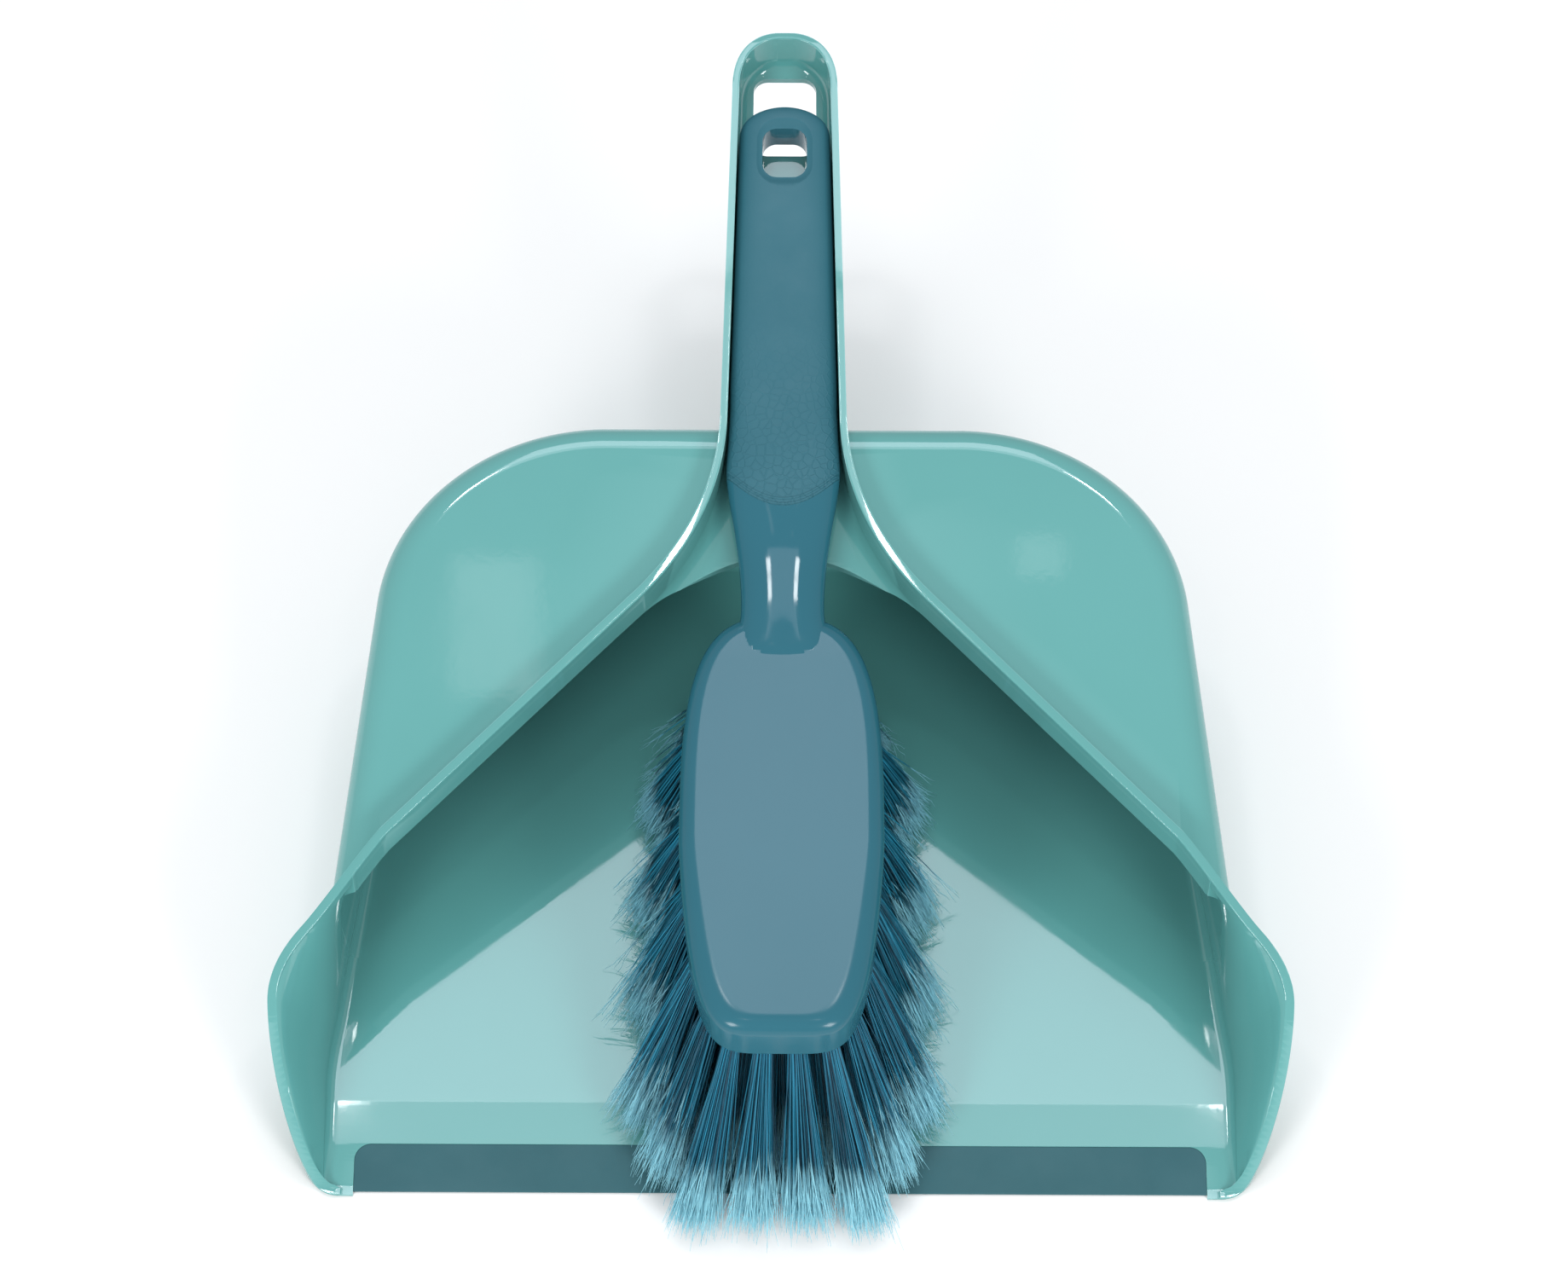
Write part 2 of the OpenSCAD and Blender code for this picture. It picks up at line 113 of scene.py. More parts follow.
# points (x, y) of the rim's outer edge: where its V meets the bend into the handle, and round the wing
V_END = (40.0, 142.5)
WING_BACK = (125.0, 54.7)
WING_END = (105.0, 80.0)
WING_END_Z = 54.0
WING_DROP = 33.4
BEND_END = (HANDLE_X, 192.0)
FRONT_Y = -1.1
RISE_Y = 1.0
RIM_BEND_Y = (150.0, 190.0)  # the rim turns from the hood's slope to the handle's between these
WALL_FOOT_X = 120.3
ROUND_Y = 286.0  # where the handle's end starts to round
APEX_Y = 159.5  # the mouth's point
RAMP_Y = 25.0
RAMP_Z = 2.0
LIP_Z = 0.6
TONGUE_Z = 0.8
TONGUE_Y = 5.0
HEAD_MID = 73.0
HEAD_Z = HEAD_TOP - HEAD_T
HOOD_RISE = 0.245
SLOPE = math.atan(HANDLE_RISE)
GAP = 0.05  # between moulded-over pieces

# ---------------------------------------------------------------- small maths


def mix(a, b, t):
    return a + (b - a) * t


def clamp(t):
    return min(1.0, max(0.0, t))


def ease(t):
    t = clamp(t)
    return t * t * (3 - 2 * t)


def vec(*p):
    return np.array(p, float)


def bez2(a, b, c, t):
    a, b, c = map(np.asarray, (a, b, c))
    return mix(mix(a, b, t), mix(b, c, t), t)


def bez3(a, b, c, d, t):
    return mix(bez2(a, b, c, t), bez2(b, c, d, t), t)


def unit(v):
    v = np.asarray(v, float)
    return v / np.linalg.norm(v)


def steps(a, b, n):
    return [mix(a, b, i / n) for i in range(n + 1)]


def end_half(y, y0, y1, n):
    """Share of the full width on a superelliptic end that starts at y0 and closes at y1."""
    return (1 - clamp((y - y0) / (y1 - y0)) ** n) ** (1 / n)


def curve(points, y):
    """Catmull-Rom through points (y, value) that are in order of y."""
    i = 0
    while i < len(points) - 2 and y >= points[i + 1][0]:
        i += 1

    def tangent(k):
        a, b = points[max(0, k - 1)], points[min(len(points) - 1, k + 1)]
        return (b[1] - a[1]) / (b[0] - a[0])

    w = points[i + 1][0] - points[i][0]
    t = clamp((y - points[i][0]) / w)
    return ((2 * t**3 - 3 * t**2 + 1) * points[i][1] + (t**3 - 2 * t**2 + t) * w * tangent(i)
            + (3 * t**2 - 2 * t**3) * points[i + 1][1] + (t**3 - t**2) * w * tangent(i + 1))


# ---------------------------------------------------------------- mesh helpers


def mesh_object(name, verts, faces):
    """An object from points in millimetres, y from the lip's front, moved to the row frame."""
    v = np.asarray(verts, float) - [0, REST_Y, 0]
    data = bpy.data.meshes.new(name)
    data.from_pydata((v * MM).tolist(), [], faces)
    data.validate()
    obj = bpy.data.objects.new(name, data)
    bpy.context.scene.collection.objects.link(obj)
    return obj


def loft(name, rings):
    """A closed solid through rings of equally many points."""
    n, m = len(rings[0]), len(rings)
    verts = [p for r in rings for p in r]
    faces = [(k * n + i, k * n + (i + 1) % n, (k + 1) * n + (i + 1) % n, (k + 1) * n + i)
             for k in range(m - 1) for i in range(n)]
    faces.append(tuple(range(n - 1, -1, -1)))
    faces.append(tuple((m - 1) * n + i for i in range(n)))
    obj = mesh_object(name, verts, faces)
    outward(obj)
    return obj


def outward(obj):
    bm = bmesh.new()
    bm.from_mesh(obj.data)
    bmesh.ops.recalc_face_normals(bm, faces=bm.faces)
    bm.to_mesh(obj.data)
    bm.free()


def prism(name, outline, z0, z1):
    rings = [[(x, y, z) for x, y in outline] for z in (z0, z1)]
    return loft(name, rings)


def boolean(target, tool, operation):
    """Applies one Boolean with the exact manifold solver and removes the tool."""
    mod = target.modifiers.new("cut", "BOOLEAN")
    mod.operation = operation
    mod.solver = "MANIFOLD"
    mod.object = tool
    apply_modifiers(target)
    remove(tool)
    return target


def apply_modifiers(obj):
    bpy.context.view_layer.update()
    done = bpy.data.meshes.new_from_object(obj.evaluated_get(bpy.context.evaluated_depsgraph_get()))
    obj.modifiers.clear()
    old = obj.data
    obj.data = done
    bpy.data.meshes.remove(old)


def remove(obj):
    data = obj.data
    bpy.data.objects.remove(obj)
    bpy.data.meshes.remove(data)


def union(a, b):
    return boolean(a, b, "UNION")


def cut(a, b):
    return boolean(a, b, "DIFFERENCE")


def common(a, b):
    return boolean(a, b, "INTERSECT")


def smooth(obj, degrees):
    """Smooth shading that stays sharp at real edges."""
    obj.data.shade_smooth()
    obj.data.set_sharp_from_angle(angle=math.radians(degrees))
    weighted = obj.modifiers.new("normals", "WEIGHTED_NORMAL")
    weighted.keep_sharp = True
    weighted.weight = 80


# ---------------------------------------------------------------- pan


def rim_z(y):
    """Height of the rim's top."""
    end_y = WING_END[1]
    if y < end_y:
        rise = 1 - clamp((y - RISE_Y) / (end_y - RISE_Y))
        return WING_END_Z + HOOD_RISE * (max(y, RISE_Y) - end_y) - WING_DROP * rise**2.8
    y0, y1 = RIM_BEND_Y
    if y < y0:
        return WING_END_Z + HOOD_RISE * (y - end_y)
    bend = (HOOD_RISE - HANDLE_RISE) / (2 * (y1 - y0))
    if y < y1:
        return WING_END_Z + HOOD_RISE * (y - end_y) - bend * (y - y0) ** 2
    return WING_END_Z + HOOD_RISE * (y1 - end_y) - bend * (y1 - y0) ** 2 + HANDLE_RISE * (y - y1)


def roof_z(y):
    return rim_z(100) - COLLAR_H + WALL + HOOD_RISE * (y + 3.5 - 100)


def floor_z(y):
    if y < LIP_Y:
        return mix(LIP_Z, RAMP_Z, y / LIP_Y)
    if y < RAMP_Y:
        return mix(RAMP_Z, FLOOR_T, (y - LIP_Y) / (RAMP_Y - LIP_Y))
    return FLOOR_T


def rim_wing(t):
    """The rim from the front corner to the widest point."""
    return bez3((CORNER_X, FRONT_Y), (CORNER_X + 9, FRONT_Y + 0.2),
                (WING_X - 0.4, WING_Y * 0.54), (WING_X, WING_Y), t)


def rim_turn(t):
    """The rim from the widest point round to the V."""
    if t < 0.5:
        return bez2((WING_X, WING_Y), (WING_X + 0.3, WING_Y + 8.5), WING_BACK, 2 * t)
    back, end = vec(*WING_BACK), vec(*WING_END)
    return bez3(back, back + [-5.8, 6.1], end + [4.3, -4.8], end, 2 * t - 1)


def rim_bend(t):
    """The rim from the V into the handle's side."""
    return bez2(V_END, (HANDLE_X + 0.8, 163.9), BEND_END, t)


def handle_half(y):
    return HANDLE_X - HANDLE_TAPER * (y - BEND_END[1])


def inner(path, t):
    """A point of a rim path, moved in by the collar's thickness."""
    a, b = path(t - 0.005), path(t + 0.005)
    return (a + b) / 2 + COLLAR_T * unit([a[1] - b[1], b[0] - a[0]])


def ring_y(half, y):
    """A ring at y from half a section (x, z), mirrored."""
    return [(x, y, z) for x, z in reversed(half)] + [(-x, y, z) for x, z in half]


def hood_side(y):
    return HOOD_X - HOOD_TAPER * (y - 70)


def wall_half(p, z0, out):
    """Half of the tray's section up to the rim point p: floor from z0, fillet, flared wall."""
    s = ease((p[1] - 24) / 42)
    h = max(0.4, rim_z(p[1]) - z0)
    f = min(3, 0.2 * h)
    foot = mix(min(WALL_FOOT_X + out, p[0] - 0.4), hood_side(p[1]) - WALL + out, ease((p[1] - 20) / 28))
    a = vec(foot, z0 + f)
    top = vec(p[0], z0 + h)
    half = [vec(60, z0)] + [bez2((foot - f, z0), (foot, z0), a, t) for t in steps(0, 1, 8)]
    lean = mix(top, vec(foot, z0 + h * 0.8), mix(0.3, 0.75, s))
    rise = vec(foot + mix(0.8, 0.1, s), z0 + h * mix(0.32, 0.55, s))
    return half + [bez3(a, rise, lean, top, t) for t in steps(0, 1, 24)[1:]]


def tray_ring(p):
    return ring_y(wall_half(p, 0, 2.6), p[1])


def tray_void_ring(p, y):
    """The open space over the tray at the rim point p, as a ring at y."""
    half = wall_half(p, floor_z(p[1]), 0)
    return ring_y(half + [half[-1] + [0.3, 60]], y)


def hood_plan(y0, d):
    """The hood's outline from above, from y0 back, moved in by d."""
    a = math.atan(HOOD_TAPER * HOOD_CORNER[1] / HOOD_CORNER[0])
    cy = HOOD_Y - HOOD_CORNER[1]
    cx = hood_side(cy + HOOD_CORNER[1] * math.sin(a)) - HOOD_CORNER[0] * math.cos(a)
    arc = [(cx + (HOOD_CORNER[0] - d) * math.cos(t), cy + (HOOD_CORNER[1] - d) * math.sin(t))
           for t in steps(a, math.radians(88.5), 56)]
    side = [(hood_side(y) - d / math.cos(math.atan(HOOD_TAPER)), y) for y in steps(y0, arc[0][1], 12)[:-1]]
    half = side + arc
    return half + [(-x, y) for x, y in reversed(half)]


def hood_block(name, y0, d, z0, foot_r):
    """The hood as a solid from z0 up, moved in by d, with rounds along its foot and its roof's edge."""
    r = HOOD_EDGE_R - d
    rings = []
    for t in steps(0, math.pi / 2, 8):
        z = z0 + foot_r * (1 - math.cos(t))
        rings.append([(x, y, z) for x, y in hood_plan(y0, d + foot_r * (1 - math.sin(t)))])
    for t in steps(0, math.pi / 2, 16):
        drop = d + r * (1 - math.sin(t))
        rings.append([(x, y, roof_z(y) - drop) for x, y in hood_plan(y0, d + r * (1 - math.cos(t)))])
    return loft(name, rings)


def mouth_plan():
    """The V-shaped mouth in the hood's roof, from above."""
    v0 = inner(rim_turn, 1)
    v1 = vec(*V_END) + v0 - vec(*WING_END)
    along = unit(v1 - v0)
    turn = v1 + along * (APEX_Y - v1[1]) / along[1]
    half = [vec(115, 58), vec(115, 62)] + [inner(rim_turn, t) for t in (0.79, 0.86, 0.93)] + [v0]
    half += [bez2(v1, turn, (0, APEX_Y), t) for t in steps(0, 1, 32)]
    return [tuple(p) for p in half] + [(-p[0], p[1]) for p in reversed(half[:-1])]


def channel_half(x, z, depth, r):
    """Half of a channel's floor at depth under z, with a corner of radius r."""
    half = [vec(max(1, x - r - 0.5), z - depth)]
    for i in range(1, 13):
        t = math.radians(7.5 * i)
        half.append(vec(x - r + r * math.sin(t) - 0.5 * (1 - i / 12), z - depth + r * (1 - math.cos(t))))
    return half


def strip_ring(x, y):
    """Section of the collar and, further back, of the handle's channel."""
    s = ease((y - 140) / 18)
    depth = mix(COLLAR_H, CHANNEL_DEPTH + 2.3, s)
    r = mix(1, min(5, x * 0.3), s)
    return ring_y(channel_half(x, rim_z(y), depth, r) + [vec(x, rim_z(y))], y)


END_STEPS = [math.sin(t) for t in steps(0, math.radians(83), 20)]


def channel_block():
    """The collar round the mouth and the handle behind it, before they are hollowed."""
    path = [rim_turn(t) for t in (0.75, 0.79, 0.83, 0.87, 0.92, 0.96, 1)]
    path += [mix(vec(*WING_END), vec(*V_END), t) for t in steps(0, 1, 8)[1:]]
    path += [rim_bend(t) for t in steps(0, 1, 32)[1:]]
    path += [vec(handle_half(y), y) for y in steps(BEND_END[1], ROUND_Y, 10)[1:-1]]
    rings = [strip_ring(p[0], p[1]) for p in path]
    for u in END_STEPS:
        y = mix(ROUND_Y, HANDLE_Y, u)
        x = handle_half(ROUND_Y) * end_half(y, ROUND_Y, HANDLE_Y, HANDLE_POWER)
        rings.append(strip_ring(x, y))
    return loft("channel", rings)


def channel_void():
    """The open inside of the handle's channel, up through the rim."""
    y1 = HANDLE_Y - CHANNEL_WALL

    def void_ring(x, y):
        up = 4.5 * (1 - math.sqrt(1 - clamp((y - y1 + 5) / 5) ** 2 * 0.96))
        half = channel_half(x, rim_z(y), CHANNEL_DEPTH - up, min(4, x * 0.3))
        return ring_y(half + [vec(x, rim_z(y) + 40)], y)

    rings = []
    for t in steps(0, 1, 32):
        p, q = rim_bend(t), rim_bend(min(1, t + 0.01)) - rim_bend(t - 0.01)
        rings.append(void_ring(p[0] - mix(COLLAR_T, CHANNEL_WALL, t) * np.linalg.norm(q) / q[1], p[1]))
    for y in steps(BEND_END[1], ROUND_Y, 10)[1:-1]:
        rings.append(void_ring(handle_half(y) - CHANNEL_WALL, y))
    for u in END_STEPS:
        y = mix(ROUND_Y, y1, u)
        x = (handle_half(ROUND_Y) - CHANNEL_WALL) * end_half(y, ROUND_Y, y1, HANDLE_POWER)
        rings.append(void_ring(x, y))
    return loft("channel_void", rings)


def slot_outline(w, l, r):
    """Rounded rectangle about the origin."""
    out = []
    for q, (sx, sy) in enumerate(((1, 1), (-1, 1), (-1, -1), (1, -1))):
        for t in steps(q * math.pi / 2, (q + 1) * math.pi / 2, 12):
            out.append((sx * (w / 2 - r) + r * math.cos(t), sy * (l / 2 - r) + r * math.sin(t)))
    return out


def sloped_ring(outline, y, z, h):
    """An outline at height h over the point (0, y, z), square to the handle's slope."""
    c, s = math.cos(SLOPE), math.sin(SLOPE)
    return [(px, y + py * c - h * s, z + py * s + h * c) for px, py in outline]


def sloped_slot(name, w, l, r, y, z, half_h):
    """A rounded slot through the handle."""
    outline = slot_outline(w, l, r)
    return loft(name, [sloped_ring(outline, y, z, h) for h in (-half_h, half_h)])


def lip_outline(g, front):
    """The lip from above, grown by g."""
    r = LIP_R + g
    half = [(LIP_X - LIP_R + r * math.cos(t), LIP_Y - LIP_R + r * math.sin(t))
            for t in steps(0, math.pi / 2, 12)]
    return [(-LIP_X - g, front), (LIP_X + g, front)] + half + [(-x, y) for x, y in reversed(half)]


def rim_path():
    """The rim's outer edge from one front corner round the handle's end to the other."""
    half = [rim_wing(t) for t in steps(0, 1, 40)]
    half += [rim_turn(t) for t in steps(0, 1, 32)[1:]]
    half += [mix(vec(*WING_END), vec(*V_END), t) for t in steps(0, 1, 16)[1:]]
    half += [rim_bend(t) for t in steps(0, 1, 32)[1:]]
    half += [vec(handle_half(y), y) for y in steps(BEND_END[1], ROUND_Y, 20)[1:]]
    wide = handle_half(ROUND_Y)
    for a in steps(0, math.pi / 2, 28)[1:]:
        # walked by angle, so that the turn is even
        c, s = math.cos(a) ** (2 / HANDLE_POWER), math.sin(a) ** (2 / HANDLE_POWER)
        half.append(vec(wide * c, ROUND_Y + (HANDLE_Y - ROUND_Y) * s))
    return half[:-1] + [vec(0, HANDLE_Y)] + [vec(-p[0], p[1]) for p in reversed(half[:-1])]


BEAD_R = 0.45  # round of the rim band's edges
BEAD_DROP = 3.2  # how far the band reaches down
BEAD_LAP = 0.04  # how far it stands proud of the walls


def bead_section(width, low):
    """The rim band's section, with the rim's outer edge at the origin and inwards positive."""
    r = BEAD_R
    section = [(-BEAD_LAP, -low), (width, -low), (width, -r - 0.3)]
    section += [(width - r + r * math.cos(t), -r + r * math.sin(t)) for t in steps(0, math.pi / 2, 5)]
    section += [(-BEAD_LAP + r - r * math.sin(t), -r + r * math.cos(t)) for t in steps(0, math.pi / 2, 5)]
    return section + [(-BEAD_LAP, -r - 0.3)]


def rim_bead():
    """The flat rim band, swept along the rim."""
    path = np.array(rim_path())
    ahead = np.gradient(path, axis=0)
    ahead /= np.linalg.norm(ahead, axis=1)[:, None]
    inward = np.stack([-ahead[:, 1], ahead[:, 0]], 1)
    rings = []
    for p, n in zip(path, inward):
        width = mix(COLLAR_T, CHANNEL_WALL, ease((p[1] - V_END[1]) / 45)) + BEAD_LAP
        low = max(BEAD_R + 0.35, min(BEAD_DROP, rim_z(p[1]) - 0.6))
        z = rim_z(p[1]) + BEAD_LAP / 2
        rings.append([(p[0] + n[0] * a, p[1] + n[1] * a, z + b) for a, b in bead_section(width, low)])
    return loft("rim_bead", rings)


WING_STEPS = 36
TURN_STEPS = 28
TURN_SHARE = 0.76  # the tray's walls end inside the hood, at this share of the rim's turn


def tray():
    path = [rim_wing(t) for t in steps(0, 1, WING_STEPS)]
    path += [rim_turn(t) for t in steps(0, TURN_SHARE, TURN_STEPS)[1:]]
    return loft("tray", [tray_ring(p) for p in path])


def tray_void():
    start = vec(CORNER_X - 1.4, 1.3)
    path = [inner(rim_wing, (i + 0.5) / WING_STEPS) for i in range(WING_STEPS)]
    path += [inner(rim_turn, (i + 0.5) * TURN_SHARE / TURN_STEPS) for i in range(TURN_STEPS)]
    path.append(inner(rim_turn, TURN_SHARE))
    rings = [tray_void_ring(start, y) for y in (-5, 0.6)]
    return loft("tray_void", rings + [tray_void_ring(q, q[1]) for q in path])


def lip_pocket():
    """The room that the lip takes in the tray's front, over the tongue and in front of it."""
    x = LIP_X + GAP
    front = [(-x, -5), (x, -5), (x, TONGUE_Y), (-x, TONGUE_Y)]
    return union(prism("pocket", lip_outline(GAP, -5), TONGUE_Z, 10), prism("pocket_front", front, -2, 5))


def pan_solid():
    """The pan in one solid. Its order of cuts keeps the channel's floor over the hood's space."""
    pan = hood_block("pan_shell", 64, 0, 0, 4)
    pan = union(pan, tray())
    pan = cut(pan, hood_block("hood_void", 63.5, WALL, FLOOR_T, 3))
    pan = cut(pan, tray_void())
    pan = union(pan, channel_block())
    pan = cut(pan, prism("mouth", mouth_plan(), 40, 120))
    pan = cut(pan, channel_void())
    hole_z = rim_z(PAN_HOLE_Y) - CHANNEL_DEPTH
    pan = cut(pan, sloped_slot("hole", *PAN_HOLE, HOLE_R, PAN_HOLE_Y, hole_z, 6))
    pan = cut(pan, lip_pocket())
    return union(pan, rim_bead())


# ---------------------------------------------------------------- brush


def crest_z(y):
    """Height of the brush handle's straight crest, a little under the rim."""
    return rim_z(200) - 0.6 + HANDLE_RISE * (y - 200)


# half widths of the neck by y
NECK_WIDTHS = ((STICK_Y, 15.5), (127, 14), (133, 12.1), (139, 11.1), (150, 11.5), (161, 12.9),
               (171, 14.6), (178, 15.3), (186, 14.85), (195, STICK_X))


def stick_half(y):
    if y < NECK_WIDTHS[-1][0]:
        return curve(NECK_WIDTHS, y)
    in_channel = handle_half(y) - CHANNEL_WALL - STICK_GAP
    return min(STICK_X, in_channel) * end_half(y, STICK_ROUND_Y, BRUSH_Y, 2.3)


def power(c, n):
    """A superellipse's coordinate from a circle's."""
    return math.copysign(abs(c) ** (2 / n), c)


NECK_DIP = (0.8, 155.0, 11.0)  # depth, middle and half length of the neck's sag


def neck_dip(y):
    """How far the neck's crest sags below its straight line."""
    depth, middle, reach = NECK_DIP
    return depth * math.exp(-((y - middle) / reach) ** 2)


def crown_powers(y):
    """Superellipse powers of the top across and upwards: round on the neck, flatter on the grip."""
    return mix(2.05, 2.7, ease((y - 158) / 18)), mix(2.05, 2.5, ease((y - 140) / 40))


STICK_SIDES = 96
STICK_STEPS = 140
STICK_END_STEPS = 16
UNDERSIDE_POWER = 3


def stick_ring(y, d):
    """Section of the neck and handle at y, with its top and sides moved in by d."""
    w = max(0.8, stick_half(y) - d)
    e = end_half(y, STICK_THIN_Y, BRUSH_Y + 0.4, 3)
    # the neck's front end turns down into the head
    drop = 1.6 * clamp((129 - y) / 7) ** 2 + neck_dip(y)
    top, low = max(0.3, STICK_CROWN * e - d), (STICK_T - STICK_CROWN) * e
    mid = crest_z(y) - STICK_CROWN - drop
    across, upwards = crown_powers(y)
    ring = []
    for i in range(STICK_SIDES):
        a = -2 * math.pi * i / STICK_SIDES
        if math.sin(a) >= 0:
            h = top * power(math.sin(a), upwards)
        else:
            h = low * power(math.sin(a), UNDERSIDE_POWER)
        ring.append((w * power(math.cos(a), across), y, mid + h))
    return ring


def stick(name, d):
    """The brush's neck and handle in one solid."""
    ys = steps(STICK_Y, STICK_ROUND_Y, STICK_STEPS)
    ys += [mix(STICK_ROUND_Y, BRUSH_Y, math.sin(t)) for t in steps(0, math.radians(78), STICK_END_STEPS)[1:]]
    return loft(name, [stick_ring(y, d) for y in ys])


def grip_front(t):
    """A point (x, y) of the grip's front edge, for t from -1 to 1 across the handle."""
    return GRIP_SIDE_X * t, mix(GRIP_FRONT_Y, GRIP_SIDE_Y, t * t)


def grip_zone(name, g):
    """Everything behind the grip's front edge and above the parting line, grown by g."""
    half = [(x, y - g) for x, y in map(grip_front, steps(0, 1, 40))]
    outline = [(-GRIP_SIDE_X, 300), (GRIP_SIDE_X, 300)] + half[::-1] + [(-x, y) for x, y in half[1:]]
    rings = []
    for h in (0, 20):
        z = crest_z(0) - STICK_CROWN - g + h
        rings.append([(x, y, HANDLE_RISE * y + z) for x, y in outline])
    return loft(name, rings)


def brush_hole(name):
    return sloped_slot(name, *BRUSH_HOLE, HOLE_R, BRUSH_HOLE_Y, crest_z(BRUSH_HOLE_Y), 30)


GRIP_CELLS = 420.0  # cells per metre in the grip's pattern
GRIP_PATTERN_FADE = (176.0, 226.0)  # where the pattern starts to fade and where it ends
GRIP_LINES = (0.5, 1.9)  # how far the two raised lines lie behind the grip's front edge
GRIP_LINE_R = 0.34
GRIP_LINE_SINK = 0.12
GRIP_LINE_REACH = 0.84  # share of the grip's front edge that the lines follow
# how far the hollow round the hanging hole has grown from the hole, and its height there
DISH_STEPS = ((3.4, 0.6), (2.6, 0.0), (1.9, -0.32), (1.2, -0.72), (0.5, -1.06), (0.0, -1.18))


def hole_dish(name):
    """A soft hollow round the hanging hole, on the grip's side."""
    w, l = BRUSH_HOLE
    rings = []
    for grow, h in DISH_STEPS:
        outline = slot_outline(w + 2 * grow, l + 2 * grow, HOLE_R + grow)
        rings.append(sloped_ring(outline, BRUSH_HOLE_Y, crest_z(BRUSH_HOLE_Y), h))
    return loft(name, rings[::-1])


def skin_z(x, y):
    """Height of the brush handle's top skin."""
    across, upwards = crown_powers(y)
    share = clamp(abs(x) / stick_half(y))
    return crest_z(y) - neck_dip(y) - STICK_CROWN + STICK_CROWN * (1 - share**across) ** (1 / upwards)


def grip_ridge(name, behind):
    """A thin raised line that follows the front edge of the grip."""
    points = []
    for t in steps(-GRIP_LINE_REACH, GRIP_LINE_REACH, 60):
        x, y = grip_front(t)
        y += behind
        points.append(vec(x, y, skin_z(x, y) - GRIP_LINE_SINK))
    rings = []
    for p, a in zip(points, np.gradient(np.array(points), axis=0)):
        a = unit(a)
        side = unit(np.cross(a, [0, 0, 1]))
        up = np.cross(side, a)
        turns = steps(0, 2 * math.pi, 12)[:-1]
        rings.append([tuple(p + GRIP_LINE_R * (math.cos(k) * side + math.sin(k) * up)) for k in turns])
    return loft(name, rings)


HEAD_BACK_POWER = 3.2
HEAD_FRONT_POWER = 5


def head_half(y, d):
    """Half the head's width at y, with its outline moved in by d."""
    if y >= HEAD_MID:
        return (HEAD_X - d) * end_half(y, HEAD_MID, HEAD_BACK - d, HEAD_BACK_POWER)
    s = HEAD_MID - y
    wide = HEAD_X - d - HEAD_TAPER * (1 + 0.09 * d) * s * s / (s + 10)
    return wide * end_half(-y, -HEAD_MID, -HEAD_FRONT - d, HEAD_FRONT_POWER)


def head_ring(d, z):
    """The head's outline at z, moved in by d."""
    ys = [HEAD_MID - (HEAD_MID - HEAD_FRONT - d) * math.cos(t) for t in steps(0, math.pi / 2, 56)[:-1]]
    ys += [HEAD_MID + (HEAD_BACK - HEAD_MID - d) * math.sin(t) for t in steps(0, math.pi / 2, 44)]
    return [(head_half(y, d), y, z) for y in ys] + [(-head_half(y, d), y, z) for y in ys[-2:0:-1]]


def head():
    rings = [head_ring(HEAD_FOOT_R * (1 - math.sin(t)), HEAD_Z + HEAD_FOOT_R * (1 - math.cos(t)))
             for t in steps(0, math.pi / 2, 4)]
    rings += [head_ring(HEAD_EDGE * (1 - math.cos(t)), HEAD_TOP - HEAD_SHOULDER * (1 - math.sin(t)))
              for t in steps(0, math.pi / 2, 14)]
    return loft("head", rings)


# ---------------------------------------------------------------- tufts


def tuft_x(r, p):
    return TUFT_PITCH * (p - (ROW_COUNTS[r] - 1) / 2)


def tuft_y(r):
    return ROW_FRONT + ROW_PITCH * r


def tuft_dir(r, p):
    lean = mix(LEAN_FRONT, LEAN_BACK, r / (len(ROW_COUNTS) - 1))
    return unit([math.tan(math.radians(LEAN_SIDE * tuft_x(r, p))), -math.tan(math.radians(lean)), -1])


def tuft_place(r, p):
    """Axes across the tuft, its direction and the middle of its hole."""
    d = tuft_dir(r, p)
    u = unit(np.cross(d, [0, 1, 0]))
    return u, np.cross(d, u), d, vec(tuft_x(r, p), tuft_y(r), HEAD_Z)


# how far a side tuft's tips are splayed outwards beyond its straight line, from the front row back
SIDE_SPLAY = (2.0, 4.0, 3.5, 6.0, 3.5, 6.0, 2.5, 3.5, -1.5, -2.5)
# how far the tips of each row are swept forward
FORWARD_SWEEP = (5.5, 4.5, 4.0, 4.0, 4.0, 3.5, 3.0, 2.5, 1.5, 0.5)
BRISTLES_SIDE = 210  # in each tuft at the ends of a row
BRISTLES_FRONT = 150  # in each of the other tufts of the front row
BRISTLES_INNER = 60  # in each tuft that is hidden behind others
BRISTLE_R = 0.17
ROOT_DEPTH = 6.0  # how far a bristle reaches up into its hole
GOLDEN_ANGLE = 2.39996
STRAY_SHARE = 0.06
STRAY_SPREAD = 3.0
SHORT_SHARE = 0.25
SHORT_SIDE = 15.0  # the most that a short bristle lacks in a side tuft
SHORT_INNER = 7.0  # and in any other
SPLIT_FROM = 0.7  # share of a bristle's length at which its tip starts to split
BRANCHES = 3  # split ends of each bristle
BRANCH_TAPER = (0.8, 0.62, 0.55, 0.5, 0.25)


